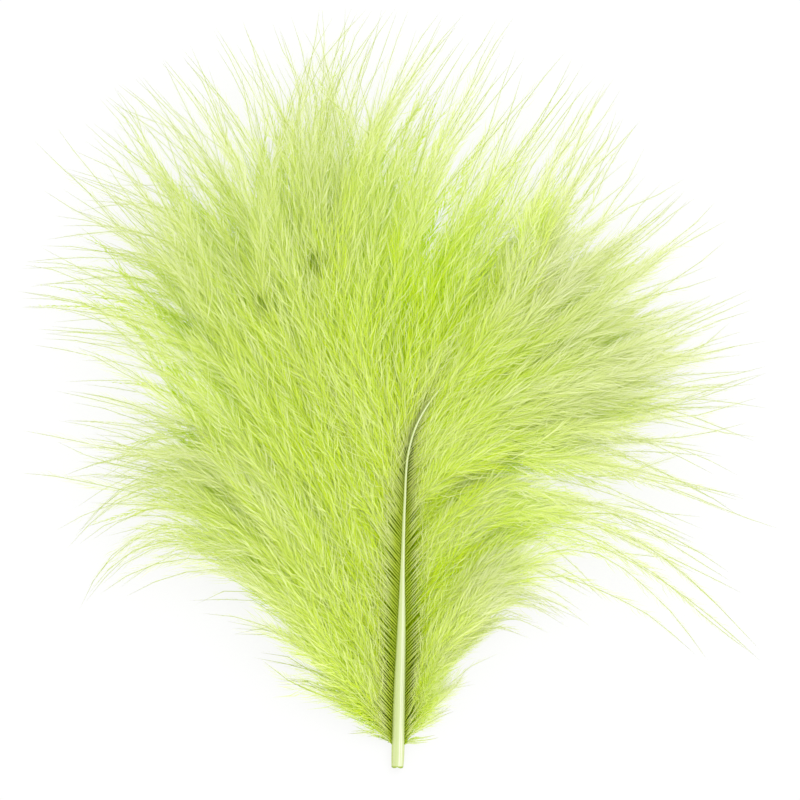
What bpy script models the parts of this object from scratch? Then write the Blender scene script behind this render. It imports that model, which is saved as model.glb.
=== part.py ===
"""A marabou feather lying on its fluff, as one grown piece: a tapered shaft with pointed locks of down.

Metres, +Z up. +Y runs from the cut end of the quill to the tip of the feather, and the fluff rests on
Z = 0. Run it with blender --background --python part.py, or from the text editor.
"""

import math

import bmesh
import bpy
from mathutils import Matrix, Vector

MM = 0.001

# Middle line of the shaft from its cut end to its hidden tip: x, y, z and width there, in mm
SHAFT_LINE = (
    (-0.6, -57.4, 0.95, 1.76),
    (-0.5, -54.5, 1.05, 1.94),
    (-0.3, -46.0, 1.70, 1.80),
    (0.0, -36.5, 2.90, 1.32),
    (0.2, -27.0, 4.20, 0.76),
    (0.5, -17.5, 5.40, 0.50),
    (1.1, -9.6, 6.20, 0.42),
    (3.4, -3.6, 6.70, 0.38),
    (8.4, 2.6, 6.90, 0.34),
    (14.6, 7.9, 6.60, 0.28),
    (21.6, 14.0, 6.00, 0.20),
)
SHAFT_STEPS = 400
SHAFT_SIDES = 10
SHAFT_STATIONS = 20
SHAFT_FLATTEN = 0.92

# Hollow in the cut end of the quill
HOLLOW_WIDTH = 0.9 * MM
HOLLOW_DEPTH = 2.4 * MM
HOLLOW_SIDES = 8

# Tips of the locks seen from above, from the quill up to the tip of the feather: x and y in mm
LEFT_TIPS = (
    (-8.4, -52.3), (-12.2, -47.0), (-19.5, -43.9), (-22.4, -40.7), (-26.3, -36.8), (-32.9, -33.7),
    (-41.9, -30.2), (-47.9, -32.0), (-51.2, -26.2), (-51.2, -19.7), (-45.2, -16.3), (-50.3, -12.5),
    (-50.9, -9.2), (-51.2, -4.4), (-51.2, 0.1), (-54.3, 7.4), (-56.9, 13.9), (-56.6, 18.7),
    (-53.0, 22.3), (-50.0, 27.7), (-51.2, 32.3), (-50.4, 34.7), (-49.5, 40.6), (-46.5, 43.0),
    (-41.1, 46.1), (-33.5, 50.5), (-27.9, 53.8), (-20.9, 54.7), (-15.8, 55.6), (-11.7, 57.2),
    (-5.4, 57.3), (-2.4, 56.8), (2.9, 47.5), (7.7, 56.2), (9.9, 54.2), (19.4, 52.0),
    (26.3, 52.0), (30.0, 50.3), (32.0, 44.0),
)
RIGHT_TIPS = (
    (5.9, -52.6), (8.4, -48.4), (11.1, -44.5), (14.9, -39.5), (19.2, -37.3), (22.2, -36.5),
    (25.5, -35.6), (29.3, -35.6), (32.7, -33.8), (48.5, -44.9), (56.1, -40.6), (53.4, -31.6),
    (51.2, -25.6), (56.3, -25.3), (54.6, -20.8), (57.0, -18.5), (53.3, -11.0), (54.8, -8.0),
    (56.7, -3.5), (55.5, -0.2), (55.5, 2.3), (55.1, 7.9), (54.3, 14.8), (52.4, 19.6),
    (50.7, 27.2), (43.4, 31.0), (39.6, 35.5), (36.5, 37.6), (34.8, 41.0), (33.3, 42.8),
    (32.0, 47.4),
)

# How the locks grow, read by share of the row from the quill up: the share, how far along the shaft from
# its cut end the root stands in mm, and the headings at the root and at the tip in degrees from +X
LEFT_GROWTH = (
    (0.00, 3.4, 128.0, 190.0),
    (0.13, 6.0, 135.0, 188.0),
    (0.18, 8.4, 133.0, 222.0),
    (0.26, 11.4, 132.0, 178.0),
    (0.37, 15.0, 132.0, 149.0),
    (0.42, 20.0, 132.0, 165.0),
    (0.55, 28.0, 131.0, 147.0),
    (0.66, 35.0, 130.0, 126.0),
    (0.76, 42.0, 124.0, 77.0),
    (0.84, 47.0, 110.0, 62.0),
    (0.92, 53.0, 88.0, 62.0),
    (1.00, 66.0, 66.0, 56.0),
)
RIGHT_GROWTH = (
    (0.00, 3.4, 52.0, -10.0),
    (0.10, 5.6, 50.0, 5.0),
    (0.14, 8.0, 52.0, -35.0),
    (0.27, 14.6, 48.0, -44.0),
    (0.33, 20.0, 49.0, -38.0),
    (0.43, 30.0, 50.0, -22.0),
    (0.53, 39.0, 50.0, -18.0),
    (0.60, 42.0, 46.0, 8.0),
    (0.70, 45.0, 40.0, 22.0),
    (0.80, 49.0, 38.0, 40.0),
    (0.90, 62.0, 46.0, 52.0),
    (1.00, 76.0, 58.0, 60.0),
)
HANDLE = 0.36

# Layers that the locks lie in: height of a long lock's middle and tip, in mm
LAYERS = ((0.4, 0.3), (8.8, 4.6), (4.4, 2.4), (0.5, 0.4), (11.0, 7.4), (6.4, 3.4))
FULL_LOFT_LENGTH = 42.0 * MM

# A lock's section: its widest part as a share of its length, with limits, and its depth as a share of that
LOCK_WIDTH_SHARE = 0.135
LOCK_WIDTH_MIN = 1.9 * MM
LOCK_WIDTH_MAX = 7.4 * MM
LOCK_DEPTH_SHARE = 0.25
LOCK_ROOT_SHARE = 0.34
LOCK_SIDES = 6
LOCK_STATIONS = (0.0, 0.14, 0.3, 0.46, 0.62, 0.77, 0.9)
WIDEST_AT = 0.55
TIP_POWER = 1.35
SWAY = 0.9 * MM
SWAY_STEP = 2.4

REST_SLAB = (0.2, 0.2, 0.012)

FLUFF_COLOUR = (0.52, 0.72, 0.05, 1.0)
FLUFF_ROUGHNESS = 0.85


def clear_scene():
    """Takes every object out of the scene."""
    for obj in list(bpy.data.objects):
        bpy.data.objects.remove(obj, do_unlink=True)


def fluff_material():
    """Soft lime green down."""
    material = bpy.data.materials.new("lime_down")
    material.use_nodes = True
    shader = material.node_tree.nodes["Principled BSDF"]
    shader.inputs["Base Color"].default_value = FLUFF_COLOUR
    shader.inputs["Roughness"].default_value = FLUFF_ROUGHNESS
    shader.inputs["Metallic"].default_value = 0.0
    return material


def through(points, share):
    """The place at a share of the way along a smooth line through the points."""
    spans = len(points) - 1
    place = min(max(share, 0.0), 1.0) * spans
    i = min(int(place), spans - 1)
    t = place - i
    start, end = points[i], points[i + 1]
    leave = (end - points[max(i - 1, 0)]) / 2
    arrive = (points[min(i + 2, spans)] - start) / 2
    return (
        start * (2 * t**3 - 3 * t**2 + 1)
        + leave * (t**3 - 2 * t**2 + t)
        + end * (3 * t**2 - 2 * t**3)
        + arrive * (t**3 - t**2)
    )


def shaft_places():
    """The shaft as many close places from the cut end: (place, width, length so far)."""
    middle = [Vector(p[:3]) * MM for p in SHAFT_LINE]
    widths = [p[3] * MM for p in SHAFT_LINE]
    places = [(middle[0], widths[0], 0.0)]
    for step in range(1, SHAFT_STEPS + 1):
        place = through(middle, step / SHAFT_STEPS)
        length = places[-1][2] + (place - places[-1][0]).length
        places.append((place, through(widths, step / SHAFT_STEPS), length))
    return places


def shaft_at(places, length):
    """The shaft's place, width and heading at a length from its cut end."""
    i = next((k for k, p in enumerate(places) if p[2] >= length), len(places) - 1)
    i = max(i, 1)
    heading = (places[i][0] - places[i - 1][0]).normalized()
    place, width, _ = places[i - 1] if length <= 0 else places[i]
    return place, width, heading


def set_ring(verts, place, heading, width, depth):
    """Puts vertices in an oval round a place, square to the heading and level across."""
    across = heading.cross(Vector((0, 0, 1))).normalized()
    upward = across.cross(heading).normalized()
    for i, vert in enumerate(verts):
        angle = math.tau * (i + 0.5) / len(verts)
        vert.co = place + across * (math.cos(angle) * width / 2) + upward * (math.sin(angle) * depth / 2)


def drawn_out(name, stations, sides, tip=None):
    """An object drawn out along stations, each (place, heading, width, depth), to a point at tip if given."""
    bm = bmesh.new()
    root = bmesh.ops.create_circle(bm, cap_ends=True, segments=sides, radius=1.0)["verts"]
    set_ring(root, *stations[0])
    end = bm.faces[:][0]
    for station in stations[1:]:
        end = bmesh.ops.extrude_discrete_faces(bm, faces=[end])["faces"][0]
        set_ring(end.verts[:], *station)
    bm.faces.new(root)
    if tip is not None:
        bmesh.ops.pointmerge(bm, verts=end.verts[:], merge_co=tip)
    bmesh.ops.recalc_face_normals(bm, faces=bm.faces[:])
    mesh = bpy.data.meshes.new(name)
    bm.to_mesh(mesh)
    bm.free()
    obj = bpy.data.objects.new(name, mesh)
    bpy.context.scene.collection.objects.link(obj)
    return obj


def shaft(places):
    """The quill and the shaft that it tapers into."""
    stations = []
    for i in range(SHAFT_STATIONS):
        place, width, heading = shaft_at(places, places[-1][2] * i / (SHAFT_STATIONS - 1))
        stations.append((place, heading, width, width * SHAFT_FLATTEN))
    return drawn_out("feather", stations, SHAFT_SIDES)


def growth(side, share):
    """A lock's root length, leaving heading and tip heading at a share of the row from the quill up."""
    rows = LEFT_GROWTH if side > 0 else RIGHT_GROWTH
    low, high = next((a, b) for a, b in zip(rows, rows[1:]) if share <= b[0])
    part = (share - low[0]) / (high[0] - low[0])
    length, leave, arrive = (a + (b - a) * part for a, b in zip(low[1:], high[1:]))
    return length * MM, math.radians(leave), math.radians(arrive)


def lock_place(root, tip, leave, arrive, loft, sway, t):
    """A place on a lock's middle line, t of the way from its root to its tip."""
    reach = math.dist(root[:2], tip[:2])
    near = (root.x + math.cos(leave) * reach * HANDLE, root.y + math.sin(leave) * reach * HANDLE)
    far = (tip.x - math.cos(arrive) * reach * HANDLE, tip.y - math.sin(arrive) * reach * HANDLE)
    weights = ((1 - t) ** 3, 3 * t * (1 - t) ** 2, 3 * t**2 * (1 - t), t**3)
    x, y = (sum(w * p[k] for w, p in zip(weights, (root, near, far, tip))) for k in (0, 1))
    swing = sway * math.sin(math.tau * t) * (1 - t)
    z = root.z * (1 - t) ** 2 + 2 * t * (1 - t) * (2 * loft - (root.z + tip.z) / 2) + tip.z * t**2
    return Vector((x - math.sin(arrive) * swing, y + math.cos(arrive) * swing, z))


def lock_swell(t):
    """A lock's width at t of the way along it, as a share of its widest."""
    if t < WIDEST_AT:
        return LOCK_ROOT_SHARE + (1 - LOCK_ROOT_SHARE) * math.sin(math.pi / 2 * t / WIDEST_AT)
    return 1 - ((t - WIDEST_AT) / (1 - WIDEST_AT)) ** TIP_POWER


def lock(places, side, number, count, tip_xy):
    """One lock of down, from inside the shaft to its pointed tip. side is 1 on the left, -1 on the right."""
    share = number / (count - 1)
    length, leave, arrive = growth(side, share)
    root, _, _ = shaft_at(places, length)
    middle_height, tip_height = LAYERS[(number + (side < 0)) % len(LAYERS)]
    flat_tip = Vector((tip_xy[0] * MM, tip_xy[1] * MM, 0))
    reach = math.dist(root[:2], flat_tip[:2])
    loft = min(reach / FULL_LOFT_LENGTH, 1.0)
    tip = flat_tip + Vector((0, 0, tip_height * MM * loft + 0.4 * MM))
    middle = root.z * (1 - loft) + middle_height * MM * loft
    sway = SWAY * math.sin(SWAY_STEP * number) * loft
    width = min(max(LOCK_WIDTH_SHARE * reach, LOCK_WIDTH_MIN), LOCK_WIDTH_MAX)
    root = root - Vector((0, 0, width * LOCK_ROOT_SHARE * LOCK_DEPTH_SHARE / 2))
    stations = []
    for t in LOCK_STATIONS:
        place = lock_place(root, tip, leave, arrive, middle, sway, t)
        ahead = lock_place(root, tip, leave, arrive, middle, sway, t + 0.02)
        breadth = width * lock_swell(t)
        stations.append((place, (ahead - place).normalized(), breadth, breadth * LOCK_DEPTH_SHARE))
    name = f"lock_{'left' if side > 0 else 'right'}_{number}"
    return drawn_out(name, stations, LOCK_SIDES, tip)


def helper_group(name, objects):
    """A collection of shapes that only help to make the feather, left out of renders."""
    group = bpy.data.collections.new(name)
    bpy.context.scene.collection.children.link(group)
    for obj in objects:
        bpy.context.scene.collection.objects.unlink(obj)
        group.objects.link(obj)
        obj.hide_render = True
        obj.display_type = "WIRE"
    return group


def hollow_cutter(places):
    """A round cutter for the hollow in the quill's cut end."""
    place, _, heading = shaft_at(places, 0.0)
    bm = bmesh.new()
    turn = heading.to_track_quat("Z", "Y").to_matrix().to_4x4()
    bmesh.ops.create_cone(
        bm,
        cap_ends=True,
        segments=HOLLOW_SIDES,
        radius1=HOLLOW_WIDTH / 2,
        radius2=HOLLOW_WIDTH / 2,
        depth=2 * HOLLOW_DEPTH,
        matrix=Matrix.Translation(place) @ turn,
    )
    mesh = bpy.data.meshes.new("hollow")
    bm.to_mesh(mesh)
    bm.free()
    obj = bpy.data.objects.new("hollow", mesh)
    bpy.context.scene.collection.objects.link(obj)
    return obj


def rest_cutter():
    """A slab under Z = 0, which gives the fluff its flat underside."""
    bm = bmesh.new()
    bmesh.ops.create_cube(bm, size=1.0)
    bmesh.ops.scale(bm, vec=REST_SLAB, verts=bm.verts[:])
    bmesh.ops.translate(bm, vec=(0, 0, -REST_SLAB[2] / 2), verts=bm.verts[:])
    mesh = bpy.data.meshes.new("rest_slab")
    bm.to_mesh(mesh)
    bm.free()
    obj = bpy.data.objects.new("rest_slab", mesh)
    bpy.context.scene.collection.objects.link(obj)
    return obj


def add_boolean(obj, operation, group):
    """Joins or cuts an object with all the shapes of a collection."""
    modifier = obj.modifiers.new(operation.lower(), "BOOLEAN")
    modifier.operation = operation
    modifier.operand_type = "COLLECTION"
    modifier.solver = "EXACT"
    modifier.collection = group


def outer_skin(bm):
    """Deletes the closed pockets that overlapping locks leave inside."""
    unseen = set(bm.verts)
    shells = []
    while unseen:
        shell, edge = set(), {unseen.pop()}
        while edge:
            shell |= edge
            edge = {e.other_vert(v) for v in edge for e in v.link_edges} - shell
        unseen -= shell
        shells.append(shell)
    outer = max(shells, key=len)
    bmesh.ops.delete(bm, geom=[v for v in bm.verts if v not in outer], context="VERTS")


def finish(obj):
    """Makes the joined shapes one plain mesh, set over the middle of its own outline."""
    graph = bpy.context.evaluated_depsgraph_get()
    mesh = bpy.data.meshes.new_from_object(obj.evaluated_get(graph))
    obj.modifiers.clear()
    bm = bmesh.new()
    bm.from_mesh(mesh)
    outer_skin(bm)
    bmesh.ops.triangulate(bm, faces=bm.faces[:])
    middle = [(min(v.co[k] for v in bm.verts) + max(v.co[k] for v in bm.verts)) / 2 for k in (0, 1)]
    bmesh.ops.translate(bm, vec=(-middle[0], -middle[1], 0), verts=bm.verts[:])
    bm.to_mesh(mesh)
    bm.free()
    obj.data = mesh
    mesh.name = "feather"
    mesh.materials.clear()
    mesh.materials.append(fluff_material())
    mesh.shade_smooth()
    mesh.set_sharp_from_angle(angle=math.radians(50))


def main():
    """Builds the feather."""
    clear_scene()
    places = shaft_places()
    feather = shaft(places)
    locks = [lock(places, 1, i, len(LEFT_TIPS), tip) for i, tip in enumerate(LEFT_TIPS)]
    locks += [lock(places, -1, i, len(RIGHT_TIPS), tip) for i, tip in enumerate(RIGHT_TIPS)]
    add_boolean(feather, "UNION", helper_group("locks", locks))
    add_boolean(feather, "DIFFERENCE", helper_group("cutters", [rest_cutter(), hollow_cutter(places)]))
    finish(feather)
    for helper in [o for o in bpy.data.objects if o is not feather]:
        bpy.data.objects.remove(helper, do_unlink=True)


main()
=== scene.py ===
"""Dresses the lime marabou feather: its horny quill, and the barbs and fine down that fan out from it."""

import logging
import math
from dataclasses import dataclass, field
from enum import Enum

import bmesh
import bpy
import numpy as np
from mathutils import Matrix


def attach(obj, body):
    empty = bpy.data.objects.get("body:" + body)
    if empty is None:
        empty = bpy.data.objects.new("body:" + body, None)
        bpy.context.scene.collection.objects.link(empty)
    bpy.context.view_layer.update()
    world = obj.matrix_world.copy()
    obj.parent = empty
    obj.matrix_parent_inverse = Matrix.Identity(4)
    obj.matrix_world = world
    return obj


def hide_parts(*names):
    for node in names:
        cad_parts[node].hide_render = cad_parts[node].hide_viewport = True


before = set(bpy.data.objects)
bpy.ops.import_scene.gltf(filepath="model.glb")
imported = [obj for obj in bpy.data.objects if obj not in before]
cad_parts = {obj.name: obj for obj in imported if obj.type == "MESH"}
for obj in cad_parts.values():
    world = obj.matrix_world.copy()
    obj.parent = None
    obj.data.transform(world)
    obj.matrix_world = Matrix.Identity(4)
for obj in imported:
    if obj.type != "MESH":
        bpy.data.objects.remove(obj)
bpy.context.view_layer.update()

log = logging.getLogger("marabou")

MM = 0.001
NODE = "feather"
BODY = "root"
COLOUR_MAP = "OFBake"
QUILL_MAP = "QuillMap"

# Middle line of the shaft from its cut end to its hidden tip: x, y, z and width there, in mm
SHAFT_LINE = (
    (-0.6, -57.4, 0.95, 1.76),
    (-0.5, -54.5, 1.05, 1.94),
    (-0.3, -46.0, 1.70, 1.80),
    (0.0, -36.5, 2.90, 1.32),
    (0.2, -27.0, 4.20, 0.76),
    (0.5, -17.5, 5.40, 0.50),
    (1.1, -9.6, 6.20, 0.42),
    (3.4, -3.6, 6.70, 0.38),
    (8.4, 2.6, 6.90, 0.34),
    (14.6, 7.9, 6.60, 0.28),
    (21.6, 14.0, 6.00, 0.20),
)

# Tips of the locks seen from above, from the quill up to the tip of the feather: x and y in mm
LEFT_TIPS = (
    (-8.4, -52.3), (-12.2, -47.0), (-19.5, -43.9), (-22.4, -40.7), (-26.3, -36.8), (-32.9, -33.7),
    (-41.9, -30.2), (-47.9, -32.0), (-51.2, -26.2), (-51.2, -19.7), (-45.2, -16.3), (-50.3, -12.5),
    (-50.9, -9.2), (-51.2, -4.4), (-51.2, 0.1), (-54.3, 7.4), (-56.9, 13.9), (-56.6, 18.7),
    (-53.0, 22.3), (-50.0, 27.7), (-51.2, 32.3), (-50.4, 34.7), (-49.5, 40.6), (-46.5, 43.0),
    (-41.1, 46.1), (-33.5, 50.5), (-27.9, 53.8), (-20.9, 54.7), (-15.8, 55.6), (-11.7, 57.2),
    (-5.4, 57.3), (-2.4, 56.8), (2.9, 47.5), (7.7, 56.2), (9.9, 54.2), (19.4, 52.0),
    (26.3, 52.0), (30.0, 50.3), (32.0, 44.0),
)
RIGHT_TIPS = (
    (5.9, -52.6), (8.4, -48.4), (11.1, -44.5), (14.9, -39.5), (19.2, -37.3), (22.2, -36.5),
    (25.5, -35.6), (29.3, -35.6), (32.7, -33.8), (48.5, -44.9), (56.1, -40.6), (53.4, -31.6),
    (51.2, -25.6), (56.3, -25.3), (54.6, -20.8), (57.0, -18.5), (53.3, -11.0), (54.8, -8.0),
    (56.7, -3.5), (55.5, -0.2), (55.5, 2.3), (55.1, 7.9), (54.3, 14.8), (52.4, 19.6),
    (50.7, 27.2), (43.4, 31.0), (39.6, 35.5), (36.5, 37.6), (34.8, 41.0), (33.3, 42.8),
    (32.0, 47.4),
)

# How the locks grow, read by share of the row from the quill up: the share, how far along the shaft from its
# cut end the root stands in mm, the headings at root and tip in degrees from +X, how far out they are full,
# and how far they keep the heading of their root and of their tip, as shares of their reach
LEFT_GROWTH = (
    (0.00, 3.4, 128.0, 165.0, 0.60, 0.36, 0.36),
    (0.05, 4.4, 133.0, 170.0, 0.60, 0.38, 0.38),
    (0.13, 6.0, 135.0, 200.0, 0.70, 0.40, 0.50),
    (0.18, 8.4, 133.0, 236.0, 0.88, 0.42, 0.60),
    (0.22, 9.9, 132.0, 228.0, 0.92, 0.42, 0.64),
    (0.26, 11.4, 132.0, 204.0, 0.96, 0.42, 0.60),
    (0.32, 13.4, 132.0, 174.0, 0.96, 0.42, 0.50),
    (0.37, 15.0, 132.0, 166.0, 1.00, 0.42, 0.50),
    (0.42, 20.0, 133.0, 182.0, 1.08, 0.44, 0.56),
    (0.47, 22.5, 132.0, 176.0, 1.04, 0.42, 0.54),
    (0.52, 26.0, 132.0, 160.0, 0.96, 0.42, 0.46),
    (0.58, 30.0, 131.0, 146.0, 0.96, 0.40, 0.40),
    (0.66, 35.0, 130.0, 130.0, 1.00, 0.40, 0.40),
    (0.72, 38.5, 128.0, 120.0, 0.98, 0.40, 0.40),
    (0.745, 40.3, 126.0, 98.0, 0.92, 0.40, 0.42),
    (0.77, 41.8, 125.0, 70.0, 0.88, 0.40, 0.44),
    (0.84, 45.0, 124.0, 60.0, 1.02, 0.38, 0.44),
    (0.90, 47.4, 114.0, 56.0, 0.96, 0.32, 0.54),
    (0.95, 50.0, 98.0, 57.0, 0.84, 0.30, 0.50),
    (1.00, 55.0, 76.0, 57.0, 0.70, 0.28, 0.46),
)
RIGHT_GROWTH = (
    (0.00, 3.4, 52.0, 15.0, 0.66, 0.36, 0.36),
    (0.10, 5.6, 50.0, 10.0, 0.66, 0.40, 0.40),
    (0.14, 8.0, 52.0, -30.0, 0.66, 0.50, 0.50),
    (0.24, 13.1, 48.0, -46.0, 0.66, 0.56, 0.60),
    (0.29, 16.4, 46.0, -44.0, 0.50, 0.56, 0.74),
    (0.33, 20.0, 48.0, -38.0, 0.46, 0.50, 0.76),
    (0.37, 25.5, 50.0, -32.0, 0.46, 0.44, 0.76),
    (0.40, 29.5, 50.0, -28.0, 0.46, 0.40, 0.74),
    (0.44, 33.0, 50.0, -24.0, 0.48, 0.34, 0.76),
    (0.50, 38.0, 52.0, -19.0, 0.52, 0.28, 0.80),
    (0.54, 40.4, 50.0, -14.0, 0.56, 0.28, 0.70),
    (0.60, 42.4, 46.0, 2.0, 0.66, 0.32, 0.50),
    (0.65, 44.0, 44.0, 14.0, 0.72, 0.34, 0.40),
    (0.70, 45.5, 42.0, 22.0, 0.80, 0.36, 0.36),
    (0.80, 49.0, 42.0, 40.0, 0.80, 0.36, 0.36),
    (0.90, 58.0, 50.0, 50.0, 0.60, 0.36, 0.36),
    (1.00, 72.0, 66.0, 56.0, 0.48, 0.36, 0.36),
)

# Small partings where the fluff opens and its deep green ground shows: x, y and radius in mm
PARTINGS = (
    (-12.8, 18.2, 2.4), (-20.4, 12.2, 2.0), (-32.4, 9.2, 2.4), (-31.7, -7.3, 2.2), (16.4, -11.0, 2.6),
    (-24.9, -30.5, 2.2),
)

Array = np.ndarray
Colour = tuple[float, float, float]
Span = tuple[float, float]

UP = np.array([0.0, 0.0, 1.0])


class Side(Enum):
    """The side of the shaft that a barb grows on, seen from above with the quill nearest."""

    LEFT = 1
    RIGHT = -1


@dataclass(frozen=True)
class RankForm:
    """How the barbs of one rank lie and what down they carry. Heights, widths and lengths in metres.

    Attributes:
        barbs: the fewest barbs that a long lock has.
        middle: how high the middle of a barb stands, from and to.
        tip: how high the tip of a barb stands, from and to.
        root_drop: how far below the middle of the shaft a barb leaves it.
        ends: how far a barb runs, from and to, as shares of its lock's full part.
        long_share: the share of barbs that run on to the end of their lock.
        tone: how light the barbules are, 0 to 1; lower ranks are set darker as painted shade in the depths,
            and the top rank lighter as painted light.
        stalk_tone: how light a stalk is at its root, 0 to 1; pale in the top rank as painted light on the
            ridges, dark in the lower ranks as painted shade.
        stalk_width: how thick a stalk is at its root.
        bare_root: how far from the shaft the first barbules stand.
        rim: how near the barbs' ends come to the fluff's, 0 to 1.
        web: whether the barbs' feet are webbed together beside the shaft.
        fill_run: how far along a barb its barbules grow to their full length.
        barbule_length: how long a barbule is.
        barbule_width: how wide a barbule is.
        open_angle: how far barbules lean out from their barb, in degrees.
        highlight_share: the share of barbules that are pale, painted highlights on the hairs.
        triangles: how many triangles a piece may have.
        parting: how wide the partings are in this rank, 0 to 1.
    """

    barbs: int
    middle: Span
    tip: Span
    root_drop: float
    ends: Span
    long_share: float
    tone: float
    stalk_tone: float
    stalk_width: float
    bare_root: float
    rim: float
    web: bool
    fill_run: float
    barbule_length: float
    barbule_width: float
    open_angle: float
    highlight_share: float
    triangles: int
    parting: float


class Rank(Enum):
    """A rank of barbs, from those on the table to those that stand highest."""

    # The tones rise from rank to rank: the darker lower ranks are painted shade in the depths of the fluff,
    # and the lighter top rank with its pale stalks is painted light.
    UNDER = RankForm(
        barbs=8, middle=(0.6 * MM, 3.0 * MM), tip=(0.3 * MM, 1.6 * MM), root_drop=0.8 * MM, ends=(0.50, 0.95),
        long_share=0.0, tone=0.16, stalk_tone=0.20, stalk_width=0.12 * MM, bare_root=0.2 * MM, rim=0.82,
        web=True, fill_run=0.3 * MM, barbule_length=4.4 * MM, barbule_width=0.26 * MM, open_angle=26.0,
        highlight_share=0.0, triangles=100_000, parting=0.0,
    )
    BODY = RankForm(
        barbs=12, middle=(2.6 * MM, 7.0 * MM), tip=(1.2 * MM, 4.6 * MM), root_drop=0.5 * MM, ends=(0.62, 1.10),
        long_share=0.14, tone=0.30, stalk_tone=0.28, stalk_width=0.14 * MM, bare_root=1.9 * MM, rim=0.95,
        web=False, fill_run=2.4 * MM, barbule_length=5.0 * MM, barbule_width=0.095 * MM, open_angle=27.0,
        highlight_share=0.08, triangles=150_000, parting=0.5,
    )
    TOP = RankForm(
        barbs=7, middle=(5.4 * MM, 9.6 * MM), tip=(2.8 * MM, 7.0 * MM), root_drop=0.0, ends=(0.66, 1.10),
        long_share=0.32, tone=0.38, stalk_tone=0.95, stalk_width=0.29 * MM, bare_root=2.4 * MM, rim=1.0,
        web=False, fill_run=2.4 * MM, barbule_length=5.4 * MM, barbule_width=0.085 * MM, open_angle=25.0,
        highlight_share=0.30, triangles=160_000, parting=1.0,
    )


def unit(vectors: Array) -> Array:
    """Vectors along the last axis, each made one long."""
    return vectors / np.maximum(np.linalg.norm(vectors, axis=-1, keepdims=True), 1e-12)


def select_none() -> None:
    """Leaves nothing selected, so that the next operator acts only on what it makes."""
    bpy.ops.object.select_all(action="DESELECT")


@dataclass
class ShaftLine:
    """The shaft's middle line and width, read by length from the cut end."""

    steps: int = 600
    places: Array = field(init=False)
    widths: Array = field(init=False)
    lengths: Array = field(init=False)

    def __post_init__(self) -> None:
        """Works out the line through its points."""
        rows = np.array(SHAFT_LINE) * MM
        line = self.through(rows, np.linspace(0.0, 1.0, self.steps + 1))
        self.places, self.widths = line[:, :3], line[:, 3]
        step = np.linalg.norm(np.diff(self.places, axis=0), axis=1)
        self.lengths = np.concatenate([[0.0], np.cumsum(step)])

    @staticmethod
    def through(rows: Array, shares: Array) -> Array:
        """A smooth line through rows of numbers.

        Args:
            rows: the points, one a row.
            shares: how far along each wanted place is, 0 to 1.

        Returns:
            One row for each share.
        """
        spans = len(rows) - 1
        i = np.minimum((shares * spans).astype(int), spans - 1)
        t = (shares * spans - i)[:, None]
        start, end = rows[i], rows[i + 1]
        leave = (end - rows[np.maximum(i - 1, 0)]) / 2
        arrive = (rows[np.minimum(i + 2, spans)] - start) / 2
        return (
            start * (2 * t**3 - 3 * t**2 + 1)
            + leave * (t**3 - 2 * t**2 + t)
            + end * (3 * t**2 - 2 * t**3)
            + arrive * (t**3 - t**2)
        )

    @property
    def length(self) -> float:
        """The shaft's whole length."""
        return float(self.lengths[-1])

    def place(self, length: float) -> Array:
        """The middle of the shaft at a length from its cut end."""
        return np.array([np.interp(length, self.lengths, self.places[:, k]) for k in range(3)])

    def width(self, length: float) -> float:
        """The shaft's width at a length from its cut end."""
        return float(np.interp(length, self.lengths, self.widths))

    def heading(self, length: float) -> Array:
        """The way that the shaft runs at a length from its cut end."""
        reach = 0.4 * MM
        return unit(self.place(length + reach) - self.place(length - reach))


@dataclass
class Lock:
    """One pointed lock of the fluff, whose barbs grow side by side and gather at its tip."""

    side: Side
    number: int
    count: int
    tip: tuple[float, float]

    def share(self, offset: float = 0.0) -> float:
        """How far up the row of locks this one stands, 0 to 1, moved by a part of a lock."""
        return min(max((self.number + offset) / (self.count - 1), 0.0), 1.0)

    def reach(self, shaft: ShaftLine) -> float:
        """How far its tip is from its root, seen from above."""
        return float(np.linalg.norm(np.array(self.tip) * MM - shaft.place(self.growth()[0])[:2]))

    def growth(self, offset: float = 0.0) -> Array:
        """How the lock grows, or a barb beside its middle.

        Args:
            offset: how far from the lock's middle the barb stands, in locks.

        Returns:
            Root length in metres, headings at root and tip in radians, fullness and the two headings' reaches.
        """
        rows = np.array(LEFT_GROWTH if self.side is Side.LEFT else RIGHT_GROWTH)
        values = np.array([np.interp(self.share(offset), rows[:, 0], rows[:, k]) for k in range(1, 7)])
        return values * [MM, math.pi / 180, math.pi / 180, 1.0, 1.0, 1.0]


@dataclass
class BarbPath:
    """The middle line of one barb from the shaft to its tip, and its looks.

    Attributes:
        points: its middle line, from its root.
        tone: how light it is, 0 to 1.
        fluffy: the share of it that has full barbules.
        bare: how much of the usual bare length its root has.
        root_length: where it leaves the shaft, in metres from the cut end.
        rim: how near to its lock's end it reaches, 0 to 1, which makes its tip pale.
    """

    points: Array
    tone: float
    fluffy: float
    bare: float
    root_length: float
    rim: float
    length: float = field(init=False)
    along: Array = field(init=False)

    def __post_init__(self) -> None:
        """Measures the barb."""
        step = np.linalg.norm(np.diff(self.points, axis=0), axis=1)
        run = np.concatenate([[0.0], np.cumsum(step)])
        self.length = float(run[-1])
        self.along = run / run[-1]

    def at(self, shares: Array) -> Array:
        """Places on the barb at shares of its length."""
        return np.stack([np.interp(shares, self.along, self.points[:, k]) for k in range(3)], axis=1)

    def headings(self, shares: Array) -> Array:
        """The way that the barb runs at shares of its length."""
        reach = 0.012
        return unit(self.at(np.minimum(shares + reach, 1.0)) - self.at(np.maximum(shares - reach, 0.0)))


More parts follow.
